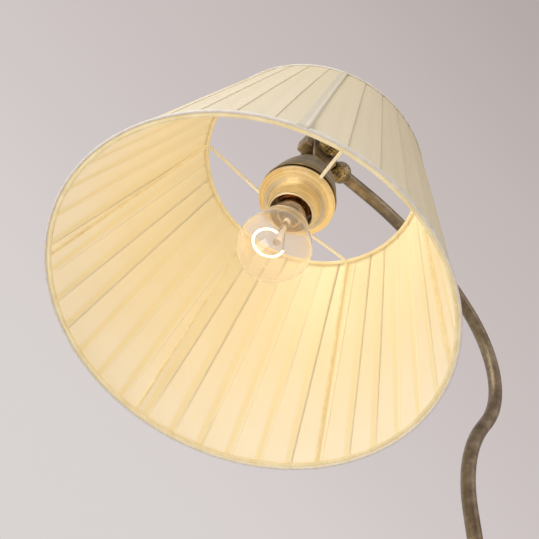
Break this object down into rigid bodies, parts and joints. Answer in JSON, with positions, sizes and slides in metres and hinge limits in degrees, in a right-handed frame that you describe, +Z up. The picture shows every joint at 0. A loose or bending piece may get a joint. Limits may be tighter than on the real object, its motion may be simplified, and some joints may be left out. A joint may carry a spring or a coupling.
{
  "type": "bridge floor lamp",
  "caption": "Floor lamp with a bent brass neck that slides and swivels in its column, and a pleated cone shade on a tilting knuckle.",
  "frame": {"origin": "floor level at the middle of the round base, on the column's axis", "axes": "+Z up the column, +X towards the head, +Y to the side of the tilt knob"},
  "size_m": [0.5014, 0.31, 1.4159],
  "materials": {
    "antique_brass": "brushed and darkened",
    "plain_brass": "bright",
    "cast_iron": "rough cast",
    "steel": "zinc plated",
    "felt": "felt",
    "black_plastic": "moulded",
    "nylon": "moulded",
    "fibre": "vulcanised fibre",
    "porcelain": "glazed",
    "white_enamel": "satin",
    "clear_glass": "clear",
    "solder": "dull",
    "tungsten": "glowing",
    "pleated_cloth": "fine woven cloth in flat pleats",
    "edge_tape": "woven tape"
  },
  "bodies": {
    "base": {"base_felt": "felt", "base_weight": "cast_iron", "base_cover": "antique_brass", "cord_gland": "black_plastic", "tie_nipple": "steel", "base_washer": "steel", "base_nut": "steel", "column_foot": "antique_brass", "column_plug": "plain_brass", "column_tube": "antique_brass", "column_ferrule": "antique_brass"},
    "collar": {"swivel_collar": "antique_brass", "retaining_screws": "steel", "guide_bush": "nylon", "clamp_shoe": "plain_brass"},
    "thumb_screw": {"thumb_screw": "antique_brass"},
    "neck": {"neck_tube": "antique_brass", "neck_foot_bush": "nylon", "neck_ball": "antique_brass", "knuckle_bar": "antique_brass", "friction_washers": "fibre"},
    "head": {"tilt_yoke": "antique_brass", "hinge_bolt": "steel", "spring_washer": "steel", "lock_nut": "steel", "holder_husk": "antique_brass", "holder_nipple": "steel", "holder_cap": "antique_brass", "cap_nut": "steel", "holder_dome": "plain_brass", "holder_shell": "plain_brass", "holder_insert": "porcelain", "terminal_screws": "steel", "screw_shell": "plain_brass", "centre_contact": "plain_brass", "ring_nut": "plain_brass", "spider_plate": "plain_brass", "spider_arms": "white_enamel", "bulb_glass": "clear_glass", "bulb_cap": "plain_brass", "bulb_insulator": "black_plastic", "bulb_tip": "solder", "bulb_stem": "clear_glass", "bulb_filament": "tungsten", "shade_top_ring": "white_enamel", "shade_bottom_ring": "white_enamel", "shade_struts": "white_enamel", "shade_fabric": "pleated_cloth", "shade_top_tape": "edge_tape", "shade_bottom_tape": "edge_tape"},
    "knob": {"tilt_knob": "antique_brass"}
  },
  "joints": [
    {"name": "arm_swivel", "type": "hinge", "parent": "base", "child": "collar", "pos_m": [0, 0, 0.8371], "axis": [0, 0, 1], "range_deg": [-170, 170]},
    {"name": "thumb_screw_turn", "type": "hinge", "parent": "collar", "child": "thumb_screw", "pos_m": [-0.02, 0, 0.8371], "axis": [-1, 0, 0], "range_deg": [0, 360]},
    {"name": "height_slide", "type": "slide", "parent": "collar", "child": "neck", "axis": [0, 0, 1], "range_m": [-0.2, 0.15]},
    {"name": "head_tilt", "type": "hinge", "parent": "neck", "child": "head", "pos_m": [0.14022, 0, 1.40242], "axis": [0, 1, 0], "range_deg": [-70, 10]},
    {"name": "knob_turn", "type": "hinge", "parent": "head", "child": "knob", "pos_m": [0.14022, 0, 1.40242], "axis": [0, 1, 0], "range_deg": [0, 360]}
  ]
}
